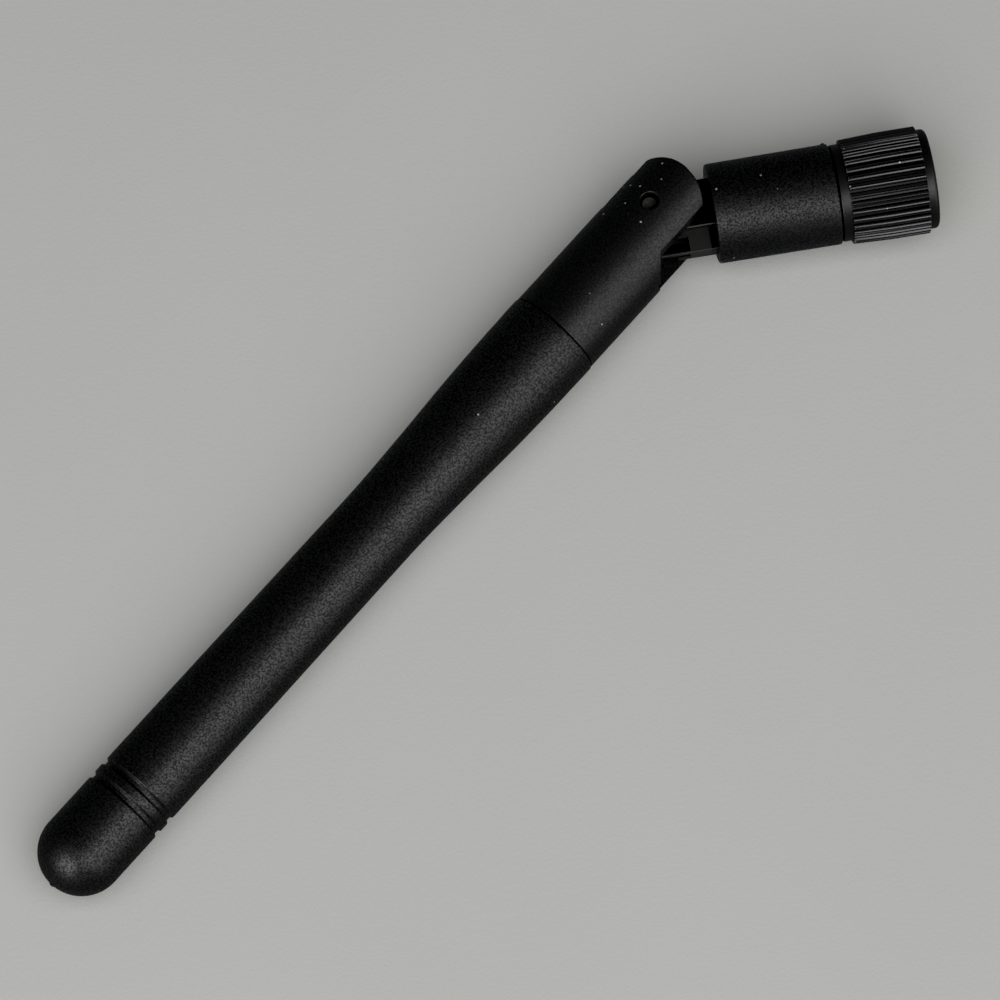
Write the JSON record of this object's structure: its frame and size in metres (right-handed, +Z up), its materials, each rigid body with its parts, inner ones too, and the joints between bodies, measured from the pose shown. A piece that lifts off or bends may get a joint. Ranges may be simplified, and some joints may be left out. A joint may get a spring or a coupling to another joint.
{
  "type": "omnidirectional antenna",
  "caption": "Omnidirectional whip antenna with a round-tipped radome, a pinned folding hinge, a swivelling collar and a knurled screw-on coaxial coupling.",
  "frame": {"origin": "on the connector's axis where the full thread of the coupling nut starts, at its mouth", "axes": "+X along the connector's axis, out of its mouth; +Z up, along the hinge pin, with the antenna lying on its side; the whip bends towards -Y"},
  "size_m": [0.0992, 0.0643, 0.011],
  "materials": {
    "radome_plastic": "black injection-moulded plastic with a fine spark-eroded grain",
    "cap_plastic": "black injection-moulded plastic with a fine spark-eroded grain",
    "collar_plastic": "black injection-moulded plastic with a coarser spark-eroded grain",
    "tongue_plastic": "smooth satin black plastic",
    "grip_plastic": "smooth satin black plastic, moulded ridges",
    "pin_plastic": "smooth black plastic with a rough gate mark on its ends",
    "gold_brass": "gold-plated brass, turned",
    "plain_brass": "bare brass, drawn and turned",
    "spring_steel": "bright spring steel",
    "crimp_metal": "nickel-plated brass tube, crimped",
    "ptfe": "white turned fluoropolymer",
    "lead_jacket": "thin black lead jacket",
    "lead_braid": "tinned copper braid",
    "lead_dielectric": "milky fluoropolymer insulation",
    "lead_core": "silver-plated copper wire",
    "solder": "solder",
    "spacer_foam": "grey foam rubber",
    "bush_plastic": "natural nylon",
    "shrink_tube": "heat-shrink tube"
  },
  "bodies": {
    "plug": {"connector_body": "gold_brass", "insulator": "ptfe", "centre_socket": "gold_brass", "retaining_ring": "spring_steel", "swivel_clip": "spring_steel", "crimp_ferrule": "crimp_metal", "lower_lead_jacket": "lead_jacket", "lower_lead_braid": "lead_braid", "lower_lead_dielectric": "lead_dielectric", "lower_lead_core": "lead_core"},
    "coupling": {"coupling_nut": "gold_brass", "knurled_sleeve": "grip_plastic"},
    "base": {"base_collar": "collar_plastic", "friction_washer": "spring_steel", "hinge_tongue": "tongue_plastic", "hinge_pin": "pin_plastic", "lead_hinge_loop": "lead_jacket"},
    "whip": {"hinge_clevis": "cap_plastic", "radome": "radome_plastic", "upper_lead_jacket": "lead_jacket", "upper_lead_braid": "lead_braid", "upper_lead_dielectric": "lead_dielectric", "upper_lead_core": "lead_core", "choke_sleeve": "plain_brass", "solder_joint": "solder", "radiator_rod": "plain_brass", "choke_bush": "bush_plastic", "radome_spacer": "spacer_foam", "tip_spacer": "spacer_foam", "heat_shrink": "shrink_tube"}
  },
  "joints": [
    {"name": "nut_spin", "type": "hinge", "parent": "plug", "child": "coupling", "pos_m": [0, 0, 0], "axis": [1, 0, 0], "continuous": true},
    {"name": "base_swivel", "type": "hinge", "parent": "plug", "child": "base", "pos_m": [-0.0096, 0, 0], "axis": [1, 0, 0], "range_deg": [-180, 180]},
    {"name": "whip_tilt", "type": "hinge", "parent": "base", "child": "whip", "pos_m": [-0.0277, 0.00105, 0], "axis": [0, 0, 1], "range_deg": [-39, 51], "deforming": ["lead_hinge_loop"]}
  ]
}
